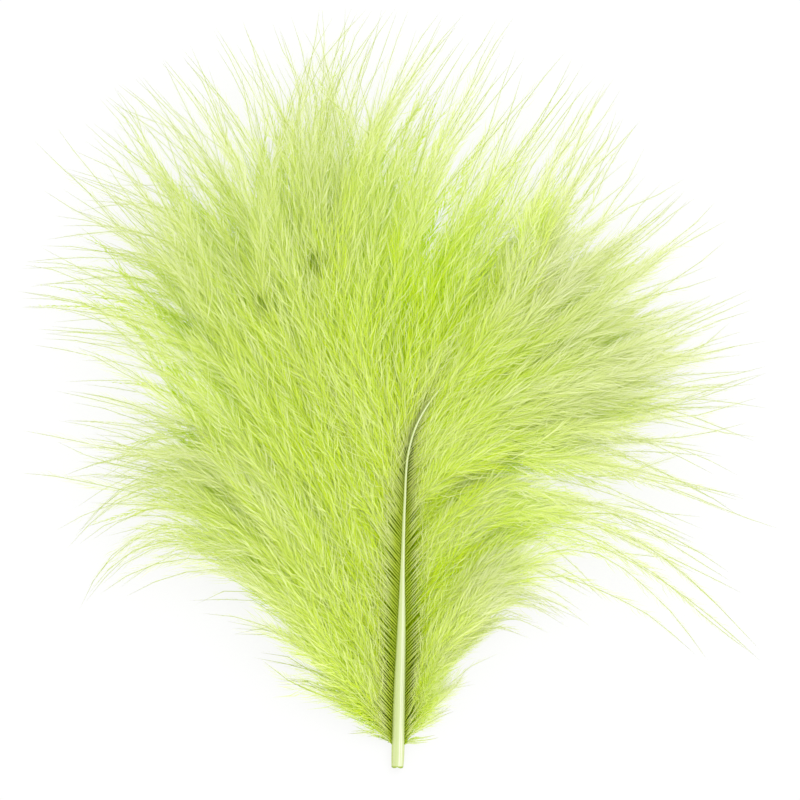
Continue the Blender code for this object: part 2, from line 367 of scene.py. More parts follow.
@dataclass
class MeshParts:
    """Points, triangles and colour places gathered for one mesh."""

    points: list[Array] = field(default_factory=list)
    triangles: list[Array] = field(default_factory=list)
    colours: list[Array] = field(default_factory=list)
    count: int = 0
    faces: int = 0

    def add(self, points: Array, triangles: Array, colours: Array) -> None:
        """Adds one batch.

        Args:
            points: places, three numbers each.
            triangles: point numbers within the batch, three each.
            colours: for each point, its tone and its share of the way along the barb.
        """
        self.points.append(points)
        self.triangles.append(triangles + self.count)
        self.colours.append(colours)
        self.count += len(points)
        self.faces += len(triangles)

    def to_object(self, name: str) -> bpy.types.Object:
        """Makes the object from all that was added.

        Args:
            name: the piece's name.

        Returns:
            The object, at the origin, with its colour map.
        """
        points = np.concatenate(self.points).astype(np.float32)
        triangles = np.concatenate(self.triangles).astype(np.int32)
        colours = np.concatenate(self.colours).astype(np.float32)
        mesh = bpy.data.meshes.new(name)
        mesh.vertices.add(len(points))
        mesh.vertices.foreach_set("co", points.ravel())
        mesh.loops.add(triangles.size)
        mesh.loops.foreach_set("vertex_index", triangles.ravel())
        mesh.polygons.add(len(triangles))
        mesh.polygons.foreach_set("loop_start", np.arange(0, triangles.size, 3, dtype=np.int32))
        layer = mesh.uv_layers.new(name=COLOUR_MAP, do_init=False)
        layer.uv.foreach_set("vector", colours[triangles.ravel()].ravel())
        mesh.update(calc_edges=True)
        mesh.validate()
        mesh.shade_smooth()
        piece = bpy.data.objects.new(name, mesh)
        bpy.context.scene.collection.objects.link(piece)
        return piece


@dataclass(frozen=True)
class Clump:
    """What a few neighbouring barbs share: how they swerve and drift, how long, light and high they are."""

    swerve: float
    drift: float
    length: float
    tone: float
    height: float


@dataclass
class BarbLayout:
    """Lays out the barbs: where each leaves the shaft, how it bends and where it ends.

    Attributes:
        full_loft: how far a lock reaches that stands at its rank's full height.
        full_count: how far a lock reaches that has its full number of barbs.
        ridge_spacing: how far apart the barbs' roots stand along the shaft.
        spread: how far tips scatter sideways, as a share of the reach, for common and for long barbs.
        long_drift: how much of its clump's drift a long barb keeps.
        turns: how far headings stray at the root and at the tip, in degrees.
        stray: how far most barbs swerve, as a share of the reach, and how far a few do.
        steady: the share of a barb over which its waves begin, sideways and in height.
        high: the height past which barbs are pressed down, and how much of the rest they keep.
        ridge_rise: how much higher barbs stand on a ridge.
        ridge_painted_light: how much lighter they are painted there, as painted light on the ridges and
            painted shade in the furrows.
        short_tone: how much lighter the shortest barbs are, and how far those reach that aren't.
        bare_fade: where along the shaft its barbs' roots stop being bare, and how bare they then are.
        rim_shares: how pale the tips are on the right and on the left.
        clump_spreads: how far the clumps differ in swerve, drift, length, tone and height.
        broad_ridge: how many locks share one broad ridge of the fluff.
        narrow_ridge: how many locks share one narrow ridge.
        sway: length and height of the small waves along a barb.
    """

    shaft: ShaftLine
    seed: int = 11
    full_loft: float = 42.0 * MM
    full_count: float = 20.0 * MM
    fewest: int = 3
    points_each: int = 30
    ridge_spacing: float = 0.5 * MM
    root_offset: float = 0.42
    lowest_root: float = 0.15 * MM
    lowest: float = 0.10 * MM
    spread: Span = (0.060, 0.026)
    long_drift: float = 0.3
    long_ends: Span = (0.90, 1.0)
    shortest: float = 0.25
    turns: Span = (0.8, 7.0)
    root_stretch: Span = (0.75, 1.25)
    tip_stretch: Span = (0.85, 1.15)
    stray: Span = (0.030, 0.070)
    stray_share: float = 0.12
    steady: Span = (0.25, 0.30)
    height_waves: float = 0.8
    tip_rise: float = 0.2 * MM
    widest: float = 57.2 * MM
    high: Span = (9.8 * MM, 0.45)
    ridge_rise: float = 1.2 * MM
    ridge_painted_light: float = 0.11
    tone_spread: float = 0.04
    short_tone: Span = (0.30, 12.0 * MM)
    bare_fade: Span = (34.0 * MM, 50.0 * MM)
    least_bare: float = 0.2
    fluffy: Span = (0.65, 1.0)
    rim_shares: Span = (1.10, 0.98)
    clump_barbs: int = 3
    clump_spreads: tuple[float, ...] = (0.017, 0.024, 0.05, 0.03, 0.20 * MM)
    broad_ridge: float = 4.7
    narrow_ridge: float = 2.9
    sway: tuple[Span, ...] = ((26.0 * MM, 0.42 * MM), (11.0 * MM, 0.16 * MM))
    wave_stretch: Span = (0.8, 1.3)

    def locks(self, side: Side) -> list[Lock]:
        """The locks on one side, from the quill up."""
        tips = LEFT_TIPS if side is Side.LEFT else RIGHT_TIPS
        return [Lock(side, i, len(tips), tip) for i, tip in enumerate(tips)]

    def clump(self, rng: np.random.Generator) -> Clump:
        """A clump's own way.

        Args:
            rng: the lock's random numbers.

        Returns:
            The clump.
        """
        return Clump(*(rng.normal(0.0, spread) for spread in self.clump_spreads))

    def barbs(self, lock: Lock, rank: Rank) -> list[BarbPath]:
        """The barbs of one lock and rank.

        Args:
            lock: the lock.
            rank: the rank of barbs.

        Returns:
            Their paths, lowest root first.
        """
        rng = np.random.default_rng([self.seed, lock.side is Side.LEFT, lock.number, rank.value.barbs])
        span = lock.growth(0.5)[0] - lock.growth(-0.5)[0]
        count = max(int(round(span / self.ridge_spacing)), rank.value.barbs)
        count = max(int(count * min(lock.reach(self.shaft) / self.full_count, 1.0)), self.fewest)
        paths, clump = [], self.clump(rng)
        for i in range(count):
            if i % self.clump_barbs == 0:
                clump = self.clump(rng)
            paths.append(self.barb(lock, rank, (i + 0.5) / count - 0.5, clump, rng))
        return paths

    def barb(self, lock: Lock, rank: Rank, across: float, clump: Clump, rng: np.random.Generator) -> BarbPath:
        """One barb of a lock.

        Args:
            lock: its lock.
            rank: its rank.
            across: where its root stands among the lock's, -0.5 to 0.5.
            clump: the way of the clump that it belongs to.
            rng: the lock's random numbers.

        Returns:
            The barb's path.
        """
        form = rank.value
        length, leave, arrive, full, first, last = lock.growth(across)
        length = round(length / self.ridge_spacing) * self.ridge_spacing
        side = lock.side.value
        heading = self.shaft.heading(length)
        outward = unit(np.array([-heading[1], heading[0], 0.0]) * side)
        root = self.shaft.place(length) + outward * self.shaft.width(length) * self.root_offset
        root[2] = max(root[2] - form.root_drop, self.lowest_root)

        lock_tip = np.array(lock.tip) * MM
        chord = unit(lock_tip - root[:2])
        square = np.array([-chord[1], chord[0]])
        reach = float(np.linalg.norm(lock_tip - root[:2]))
        loft = min(reach / self.full_loft, 1.0)
        long = rng.random() < form.long_share
        sideways = rng.normal(0.0, self.spread[long]) + (self.long_drift if long else 1.0) * clump.drift
        tip = np.clip(lock_tip + square * sideways * reach, -self.widest, self.widest)
        part = rng.uniform(*self.long_ends) if long else full * (rng.uniform(*form.ends) + clump.length)
        part = min(max(part, self.shortest), 1.0)

        leave += math.radians(rng.normal(0.0, self.turns[0]))
        arrive += math.radians(rng.normal(0.0, self.turns[1]))
        first, last = first * rng.uniform(*self.root_stretch), last * rng.uniform(*self.tip_stretch)
        t = np.linspace(0.0, 1.0, self.points_each) * part
        near = root[:2] + np.array([math.cos(leave), math.sin(leave)]) * reach * first
        far = tip - np.array([math.cos(arrive), math.sin(arrive)]) * reach * last
        weights = np.stack([(1 - t) ** 3, 3 * t * (1 - t) ** 2, 3 * t**2 * (1 - t), t**3], axis=1)
        flat = weights @ np.stack([root[:2], near, far, tip])
        stray = rng.normal(0.0, self.stray[int(rng.random() < self.stray_share)])
        swerve = (clump.swerve + stray) * reach * np.sin(math.pi * np.minimum(t, 1.0)) ** 1.5
        swerve = swerve + self.waves(t * reach, rng) * self.onset(t, self.steady[0])
        flat = flat + square * swerve[:, None]

        ridge = self.ridge(lock, across)
        middle = rng.uniform(*form.middle) + clump.height + self.ridge_rise * ridge
        end = rng.uniform(*form.tip) * loft + self.tip_rise
        middle = root[2] * (1 - loft) + middle * loft
        height = root[2] * (1 - t) ** 2 + 2 * t * (1 - t) * (2 * middle - (root[2] + end) / 2) + end * t**2
        height = height + self.waves(t * reach, rng) * self.height_waves * self.onset(t, self.steady[1])
        top, kept = self.high
        height = np.maximum(np.where(height > top, top + kept * (height - top), height), self.lowest)
        paler, far_enough = self.short_tone
        # Painted light and shade: barbs on a ridge are painted lighter, and those in a furrow darker.
        tone = form.tone + clump.tone + self.ridge_painted_light * ridge + rng.normal(0.0, self.tone_spread)
        tone = tone + paler * (1.0 - min(reach / far_enough, 1.0))
        bare = float(np.interp(length, self.bare_fade, [1.0, self.least_bare]))
        fluffy = min(full * rng.uniform(*self.fluffy) / part, 1.0) if long else 1.0
        points, tone = np.concatenate([flat, height[:, None]], axis=1), float(np.clip(tone, 0.03, 0.9))
        rim = form.rim * min(part / full, 1.0) * self.rim_shares[lock.side is Side.LEFT]
        return BarbPath(points, tone, fluffy, bare, length, rim)

    @staticmethod
    def onset(t: Array, steady: float) -> Array:
        """How far a barb's waves have grown, from 0 at its root to 1 at the share where they are steady."""
        return np.minimum(t / steady, 1.0) ** 1.5

    def ridge(self, lock: Lock, across: float) -> float:
        """How far a barb stands on a ridge of the fluff.

        Args:
            lock: its lock.
            across: where its root stands among the lock's.

        Returns:
            A number from -1 in a furrow to 1 on a ridge.
        """
        number = lock.number + across
        broad = math.sin(math.tau * number / self.broad_ridge + 1.1 * lock.side.value)
        return 0.6 * math.sin(math.tau * number / self.narrow_ridge + 0.4) + 0.4 * broad

    def waves(self, run: Array, rng: np.random.Generator) -> Array:
        """Small waves along a barb.

        Args:
            run: distances along it in metres.
            rng: the lock's random numbers.

        Returns:
            How far it sways aside at each.
        """
        sway = np.zeros(len(run))
        for wavelength, size in self.sway:
            phase, size = rng.random() * math.tau, rng.normal(0.0, size)
            sway += size * np.sin(math.tau * run / (wavelength * rng.uniform(*self.wave_stretch)) + phase)
        return sway


@dataclass
class DownMaker:
    """Grows the meshes of barbs: a thin tapering stalk each, with fine barbules along it.

    Attributes:
        stalk_paleness: how far along the colour map a stalk pales freely, and how much it gives up past that.
        stalk_taper: the share of a stalk's width that it keeps, and how far out it loses the rest.
        lift: how far barbules stand up out of the plane of their barb, in radians.
        last: where the last barbule of a barb stands, as a share of it.
        root_zone: how far from the shaft a barb's root reaches.
        root_part: how much of the colour map the root takes.
        covered_root: how much of the colour map a root that isn't bare skips.
        map_wide: how wide and how long a stalk's faces are on the colour map at least.
        crowd: how thickly barbules stand, from root to tip: shares of the barb and thicknesses.
        pale_size: how much longer and wider pale barbules are.
        pale_open: how much further pale barbules lean out.
        end_taper: the last share of a barb, over which its barbules shorten.
        painted_tilt_light: painted light and shade: how much lighter a barbule is painted that stands up, and
            darker one that points down, and how high it then stands.
        spill: how ragged the edges of the partings are.
        web_reach: where the web begins on a barb, and where it ends on odd barbs and on even ones.
    """

    form: RankForm
    seed: int = 5
    stalk_tip: float = 0.08 * MM
    stalk_paleness: Span = (0.81, 0.85)
    stalk_step: float = 4.2 * MM
    stalk_taper: Span = (0.6, 6.0 * MM)
    full_stalk: float = 20.0 * MM
    full_barbules: float = 30.0 * MM
    lift: float = 0.5
    open_spread: float = 9.0
    least_open: float = 4.0
    last: float = 0.985
    tallest: float = 12.2 * MM
    lowest: float = 0.03 * MM
    root_zone: float = 8.0 * MM
    root_part: float = 0.4
    covered_root: float = 0.2
    map_wide: Span = (0.012, 0.004)
    crowd: tuple[Span, ...] = ((0.0, 0.8), (0.25, 0.95), (0.6, 1.30), (0.85, 1.20), (1.0, 0.45))
    pale_size: float = 1.25
    pale_open: float = 1.35
    highlight_tone: float = 0.42
    end_taper: float = 0.38
    painted_tilt_light: Span = (0.16, 0.8 * MM)
    sizes: Span = (0.5, 1.2)
    thicknesses: Span = (0.75, 1.2)
    spill: Span = (0.3, 1.3)
    web_reach: tuple[float, float, float] = (-0.5 * MM, 1.1 * MM, 1.9 * MM)
    web_height: float = 0.12 * MM

    def place_on_map(self, path: BarbPath, shares: Array) -> Array:
        """Where shares of a barb stand on the colour map: its root first, and then the way to its tip.

        Args:
            path: the barb.
            shares: how far along it each place is, 0 to 1.

        Returns:
            The places' numbers along the map.
        """
        root = self.root_part * np.minimum(shares * path.length / self.root_zone, 1.0)
        along = root + (1.0 - self.root_part) * shares * path.rim**2
        return np.maximum(along, self.covered_root * (1.0 - path.bare) + 0.2 * along)

    def per_metre(self, paths: list[BarbPath]) -> float:
        """How many barbules each metre of barb can have within the mesh's number of triangles."""
        stalks = sum(6 * self.stalk_count(path) for path in paths)
        return (self.form.triangles - stalks) / 2 / sum(path.length for path in paths)

    def spread(self, places: Array) -> Array:
        """Moves evenly spaced places along a barb to where its barbules stand: few at its root and its tip.

        Args:
            places: the even places, 0 to 1.

        Returns:
            Where they stand, as shares of the barb.
        """
        along = np.linspace(0.0, 1.0, 101)
        run = np.cumsum(np.interp(along, *zip(*self.crowd)))
        return np.interp(places, (run - run[0]) / (run[-1] - run[0]), along)

    def stalk_count(self, path: BarbPath) -> int:
        """How many pieces a barb's stalk is drawn in."""
        return max(int(path.length / self.stalk_step), 5)

    def stalk(self, path: BarbPath, parts: MeshParts) -> None:
        """Adds a barb's stalk, a three-sided taper closed at both ends.

        Args:
            path: the barb.
            parts: the mesh that it joins.
        """
        count = self.stalk_count(path)
        shares = np.linspace(0.0, 1.0, count + 1) ** 1.15
        middle, ahead = path.at(shares), path.headings(shares)
        across = unit(np.cross(ahead, UP))
        upward = np.cross(across, ahead)
        kept, fade = self.stalk_taper
        taper = self.form.stalk_width * (kept + (1.0 - kept) * np.exp(-shares * path.length / fade))
        taper = taper * min(0.3 + path.length / self.full_stalk, 1.0)
        radius = (taper + (self.stalk_tip - taper) * shares**2.2) / 2
        rings = []
        for angle in (math.pi / 2, math.pi * 7 / 6, math.pi * 11 / 6):
            rings.append(middle + (across * math.cos(angle) + upward * math.sin(angle)) * radius[:, None])
        points = np.stack(rings, axis=1)[:-1].reshape(-1, 3)
        points = np.concatenate([points, middle[-1:]])
        triangles = [[0, 1, 2]]
        for k in range(count - 1):
            for j in range(3):
                a, b = 3 * k + j, 3 * k + (j + 1) % 3
                triangles += [[a, a + 3, b], [b, a + 3, b + 3]]
        last, end = 3 * (count - 1), 3 * count
        triangles += [[last + j, end, last + (j + 1) % 3] for j in range(3)]
        run = np.concatenate([np.repeat(shares[:-1], 3), [1.0]])
        along = self.place_on_map(path, run)
        free, given_up = self.stalk_paleness
        wide, high = self.map_wide
        along = along - given_up * np.maximum(along - free, 0.0)
        along = along + np.concatenate([np.tile([0.0, high, 0.0], count), [0.0]])
        # A stalk's tone starts from its rank's stalk tone: painted light in the top rank, painted shade in the
        # lower ones.
        tone = path.tone + (self.form.stalk_tone - self.form.tone) * (1.0 - run**1.1) - 0.14 * run**2
        tone = np.clip(tone, 0.05, 0.97) + np.concatenate([np.tile([-wide, 0.0, wide], count), [0.0]])
        parts.add(points, np.array(triangles), np.stack([tone, along], axis=1))

    def barbules(self, path: BarbPath, parts: MeshParts, per_metre: float, rng: np.random.Generator) -> None:
        """Adds the barbules of one barb, each a thin bent blade pointed at both ends.

        Args:
            path: the barb.
            parts: the mesh that they join.
            per_metre: how many stand on a metre of barb.
            rng: the piece's random numbers.
        """
        form = self.form
        count = int(path.length * per_metre)
        start = min(form.bare_root * path.bare / path.length, 0.2)
        shares = start + (self.last - start) * self.spread((np.arange(count) + rng.random(count)) / count)
        root, ahead = path.at(shares), path.headings(shares)
        across = unit(np.cross(ahead, UP))
        upward = np.cross(across, ahead)
        row = np.where(np.arange(count) % 2, 0.0, math.pi)
        turn = row + rng.normal(self.lift * 0.4, self.lift, count) * np.where(row > 1, -1.0, 1.0)
        out = across * np.cos(turn)[:, None] + upward * np.sin(turn)[:, None]
        short = min(path.length / self.full_barbules, 1.0)
        # Pale barbules are painted highlights on the hairs; only those that don't point down keep the pale
        # tone.
        pale = rng.random(count) < form.highlight_share
        open_angle = np.maximum(rng.normal(form.open_angle, self.open_spread, count), self.least_open)
        open_angle = np.radians(open_angle) * np.where(pale, self.pale_open, 1.0)
        open_angle = open_angle * (1.0 - 0.25 * shares) * (2.2 - 1.2 * short)
        way = ahead * np.cos(open_angle)[:, None] + out * np.sin(open_angle)[:, None]
        swell = np.clip((shares - start) * path.length / form.fill_run, 0.2, 1.0)
        swell = swell * np.clip((1.0 - shares) / self.end_taper, 0.05, 1.0) ** 0.85
        size = form.barbule_length * swell * rng.uniform(*self.sizes, count) * short
        sparse = np.clip((shares - path.fluffy) / 0.12, 0.0, 1.0)
        larger = np.where(pale, self.pale_size, 1.0)
        size = size * larger * (1.0 - 0.45 * sparse)
        flat = unit(np.cross(way, unit(UP + rng.normal(0.0, 0.4, (count, 3)))))
        thin = (0.5 + 0.5 * swell) * (1.0 - 0.3 * shares) * larger * (0.3 + 0.7 * short)
        half = flat * (form.barbule_width / 2 * thin * rng.uniform(*self.thicknesses, count))[:, None]
        centre = root + way * (size * 0.45)[:, None]
        onward = unit(way * 0.5 + ahead * 0.5 + rng.normal(0.0, 0.10, (count, 3)))
        tip = centre + onward * (size * 0.55)[:, None]
        points = np.stack([root, centre + half, centre - half, tip], axis=1)
        points[:, :, 2] = np.clip(points[:, :, 2], self.lowest, self.tallest)
        # Painted light by tilt: barbules that stand up are painted lighter, and those pointing down darker.
        lighter, stand = self.painted_tilt_light
        proud = np.clip(way[:, 2] * size / stand, -1.0, 1.0)
        tone = path.tone + np.where(pale & (proud > -0.1), self.highlight_tone, 0.0) + lighter * proud
        tone = tone + 0.25 * shares**2 + rng.normal(0.0, 0.04, count)
        tones = np.clip(tone, 0.02, 0.96)[:, None] + [0.0, 0.01, -0.01, 0.0]
        alongs = np.minimum(self.place_on_map(path, shares), 0.98)[:, None] + [0.0, 0.006, 0.006, 0.012]
        colours = np.stack([tones, alongs], axis=2)
        keep = self.outside_partings(centre, rng) & (rng.random(count) > 0.6 * sparse)
        points, colours = points[keep].reshape(-1, 3), colours[keep].reshape(-1, 2)
        first = 4 * np.arange(len(points) // 4)[:, None]
        parts.add(points, np.concatenate([first + [0, 1, 2], first + [3, 2, 1]]), colours)

    def web(self, paths: list[BarbPath], parts: MeshParts) -> None:
        """Adds the close-set feet of the lowest barbs, one toothed strip beside the shaft, coloured dark olive
        as painted shade between the barbs' roots.

        Args:
            paths: the rank's barbs.
            parts: the mesh that it joins.
        """
        points, colours = [], []
        feet = {path.root_length: path for path in sorted(paths, key=lambda path: path.root_length)}
        for k, path in enumerate(feet.values()):
            foot, ahead = path.points[0], path.headings(np.array([0.02]))[0]
            inner, short, tall = self.web_reach
            for run, along in ((inner, 0.01), (short if k % 2 else tall, 0.10)):
                x, y = foot[:2] + ahead[:2] * run
                points.append([x, y, max(foot[2], self.web_height)])
                # The web takes the darkest root tones: painted shade beside the shaft.
                colours.append([0.05 + 0.06 * (k % 2), along])
        first = 2 * np.arange(len(feet) - 1)[:, None]
        triangles = np.concatenate([first + [0, 1, 2], first + [2, 1, 3]])
        parts.add(np.array(points), triangles, np.array(colours))

    def outside_partings(self, places: Array, rng: np.random.Generator) -> Array:
        """Which barbules stand outside the partings. The lowest rank has no partings.

        Args:
            places: the barbules' middles.
            rng: the piece's random numbers.

        Returns:
            For each barbule, whether it stays.
        """
        keep = np.ones(len(places), bool)
        for x, y, radius in PARTINGS:
            away = np.linalg.norm(places[:, :2] - np.array([x, y]) * MM, axis=1)
            keep &= away > radius * self.form.parting * MM * rng.uniform(*self.spill, len(places))
        return keep

    def grow(self, name: str, paths: list[BarbPath]) -> bpy.types.Object:
        """Makes one piece of down.

        Args:
            name: the piece's name.
            paths: its barbs.

        Returns:
            The piece.
        """
        parts, per_metre = MeshParts(), self.per_metre(paths)
        rng = np.random.default_rng([self.seed, len(paths)])
        if self.form.web:
            self.web(paths, parts)
        for path in paths:
            self.stalk(path, parts)
            self.barbules(path, parts, per_metre, rng)
        log.info("%s: %d barbs, %d barbules a metre, %d triangles", name, len(paths), per_metre, parts.faces)
        return parts.to_object(name)


@dataclass(frozen=True)
class DownFinish:
    """Dyed lime down, paler on top as painted light, olive between the barbs' roots as painted shade, and lit
    through.

    Attributes:
        body: the down's colours by its tone, from dark to light; the tone carries painted light and shade as
            well as random tone, so the dark end serves as painted shade and the light end as painted
            highlight.
        root: its colours beside the shaft: dark olive as painted shade in the gaps between the barbs' roots,
            light lime as painted light on the ridges.
        tip: its colours at the ends of the barbs.
        root_reach: where along a barb's map the root's colours pass into those of the body.
        tip_reach: where along it these pass into the colours of the tip.
        through: the share of the light that comes through from behind.
    """

    name: str = "lime_down"
    body: tuple[tuple[float, Colour], ...] = (
        (0.10, (0.645, 0.87, 0.007)),
        (0.50, (0.775, 0.93, 0.05)),
        (0.92, (0.91, 0.98, 0.44)),
    )
    # Beside the shaft: dark olive is painted shade between the barbs' roots, and light lime is painted light
    # on the ridges.
    root: tuple[tuple[float, Colour], ...] = ((0.30, (0.48, 0.66, 0.004)), (0.85, (0.76, 0.90, 0.10)))
    tip: tuple[tuple[float, Colour], ...] = ((0.15, (0.74, 0.82, 0.27)), (0.85, (0.90, 0.93, 0.67)))
    root_reach: Span = (0.08, 0.17)
    tip_reach: Span = (0.60, 0.90)
    through: float = 0.36
    roughness: float = 0.75
    shine: float = 0.02

    @staticmethod
    def ramp(
        tree: bpy.types.NodeTree, place: bpy.types.NodeSocket, stops: tuple[tuple[float, Colour], ...]
    ) -> bpy.types.NodeSocket:
        """A colour ramp.

        Args:
            tree: the material's node tree.
            place: what the ramp is read by.
            stops: (place, colour) pairs.

        Returns:
            The colour.
        """
        node = tree.nodes.new("ShaderNodeValToRGB")
        while len(node.color_ramp.elements) < len(stops):
            node.color_ramp.elements.new(0.5)
        for element, (position, colour) in zip(node.color_ramp.elements, stops):
            element.position = position
            element.color = (*colour, 1.0)
        tree.links.new(place, node.inputs[0])
        return node.outputs[0]

    @staticmethod
    def blend(
        tree: bpy.types.NodeTree,
        along: bpy.types.NodeSocket,
        reach: Span,
        near: bpy.types.NodeSocket,
        far: bpy.types.NodeSocket,
    ) -> bpy.types.NodeSocket:
        """Passes from one colour to another over a stretch of the piece.

        Args:
            tree: the material's node tree.
            along: the place along the piece.
            reach: where the change begins and ends.
            near: the colour before it.
            far: the colour after it.

        Returns:
            The colour.
        """
        part = tree.nodes.new("ShaderNodeMapRange")
        part.inputs["From Min"].default_value, part.inputs["From Max"].default_value = reach
        tree.links.new(along, part.inputs["Value"])
        mix = tree.nodes.new("ShaderNodeMix")
        mix.data_type = "RGBA"
        tree.links.new(part.outputs[0], mix.inputs[0])
        tree.links.new(near, mix.inputs[6])
        tree.links.new(far, mix.inputs[7])
        return mix.outputs[2]

    def material(self) -> bpy.types.Material:
        """The material, whose colours follow each barb's own map.

        Returns:
            The material.
        """
        material = bpy.data.materials.new(self.name)
        material.use_nodes = True
        tree = material.node_tree
        nodes, links = tree.nodes, tree.links
        shader = nodes["Principled BSDF"]
        output = nodes["Material Output"]
        colour_map = nodes.new("ShaderNodeUVMap")
        colour_map.uv_map = COLOUR_MAP
        axes = nodes.new("ShaderNodeSeparateXYZ")
        links.new(colour_map.outputs[0], axes.inputs[0])
        place, along = axes.outputs[0], axes.outputs[1]
        body, root, tip = (self.ramp(tree, place, stops) for stops in (self.body, self.root, self.tip))
        inner = self.blend(tree, along, self.root_reach, root, body)
        mix = self.blend(tree, along, self.tip_reach, inner, tip)
        links.new(mix, shader.inputs["Base Color"])
        shader.inputs["Roughness"].default_value = self.roughness
        shader.inputs["Specular IOR Level"].default_value = self.shine
        through = nodes.new("ShaderNodeBsdfTranslucent")
        links.new(mix, through.inputs["Color"])
        both = nodes.new("ShaderNodeMixShader")
        both.inputs[0].default_value = self.through
        links.new(shader.outputs[0], both.inputs[1])
        links.new(through.outputs[0], both.inputs[2])
        links.new(both.outputs[0], output.inputs["Surface"])
        return material


@dataclass(frozen=True)
class QuillFinish:
    """Horny keratin, pale yellow-green, with painted highlight streaks along its top, painted shade on its
    lime edges and a darker cut rim.

    Attributes:
        rim: the colour of the cut edge.
        across: colours by how far round the shaft they are, with its top at a quarter of a turn: its lightest
            stops are painted highlight streaks just right of the top, and its darker stops towards both sides
            are painted shade.
        rim_reach: where along the shaft the rim's colour ends.
        streak_scale: how fine the wander of the streaks is, round the shaft and along it.
        wander: how far the streaks wander, in turns.
    """

    name: str = "quill_keratin"
    rim: Colour = (0.34, 0.46, 0.04)
    # Painted light round the shaft: highlight streaks near the top, and painted shade darkening both sides.
    across: tuple[tuple[float, Colour], ...] = (
        (0.00, (0.42, 0.53, 0.11)),
        (0.07, (0.57, 0.65, 0.25)),
        (0.110, (0.66, 0.72, 0.42)),
        (0.135, (0.59, 0.67, 0.32)),
        (0.155, (0.86, 0.88, 0.72)),
        (0.180, (0.61, 0.69, 0.35)),
        (0.205, (0.80, 0.84, 0.62)),
        (0.235, (0.60, 0.68, 0.34)),
        (0.30, (0.56, 0.65, 0.27)),
        (0.36, (0.61, 0.68, 0.34)),
        (0.43, (0.53, 0.63, 0.18)),
        (0.50, (0.42, 0.54, 0.09)),
    )
    rim_reach: Span = (0.0025, 0.005)
    streak_scale: tuple[float, float, float] = (9.0, 14.0, 1.0)
    streak_detail: float = 2.0
    wander: float = 0.045
    roughness: float = 0.38
    shine: float = 0.35

    def material(self) -> bpy.types.Material:
        """The material, whose colours follow the quill's own map: round it and along it.

        Returns:
            The material.
        """
        material = bpy.data.materials.new(self.name)
        material.use_nodes = True
        tree = material.node_tree
        nodes, links = tree.nodes, tree.links
        shader = nodes["Principled BSDF"]
        place = nodes.new("ShaderNodeUVMap")
        place.uv_map = QUILL_MAP
        axes = nodes.new("ShaderNodeSeparateXYZ")
        stretch = nodes.new("ShaderNodeMapping")
        stretch.inputs["Scale"].default_value = self.streak_scale
        streaks = nodes.new("ShaderNodeTexNoise")
        streaks.inputs["Scale"].default_value = 1.0
        streaks.inputs["Detail"].default_value = self.streak_detail
        wander = nodes.new("ShaderNodeMath")
        wander.operation = "MULTIPLY_ADD"
        wander.inputs[1].default_value = self.wander
        links.new(place.outputs[0], axes.inputs[0])
        links.new(place.outputs[0], stretch.inputs["Vector"])
        links.new(stretch.outputs[0], streaks.inputs["Vector"])
        links.new(streaks.outputs[0], wander.inputs[0])
        links.new(axes.outputs[0], wander.inputs[2])
        back = nodes.new("ShaderNodeMath")
        back.operation = "SUBTRACT"
        back.inputs[1].default_value = self.wander / 2
        links.new(wander.outputs[0], back.inputs[0])
        # The bands round the shaft carry painted highlights on top and painted shade on the sides.
        painted_light_bands = DownFinish.ramp(tree, back.outputs[0], self.across)
        edge = nodes.new("ShaderNodeRGB")
        edge.outputs[0].default_value = (*self.rim, 1.0)
        colour = DownFinish.blend(tree, axes.outputs[1], self.rim_reach, edge.outputs[0], painted_light_bands)
        links.new(colour, shader.inputs["Base Color"])
        shader.inputs["Roughness"].default_value = self.roughness
        shader.inputs["Specular IOR Level"].default_value = self.shine
        return material


@dataclass(frozen=True)
class Ring:
    """A section of the quill: its middle, its two axes and how flat it is."""

    place: Array
    across: Array
    upward: Array
    flat: float


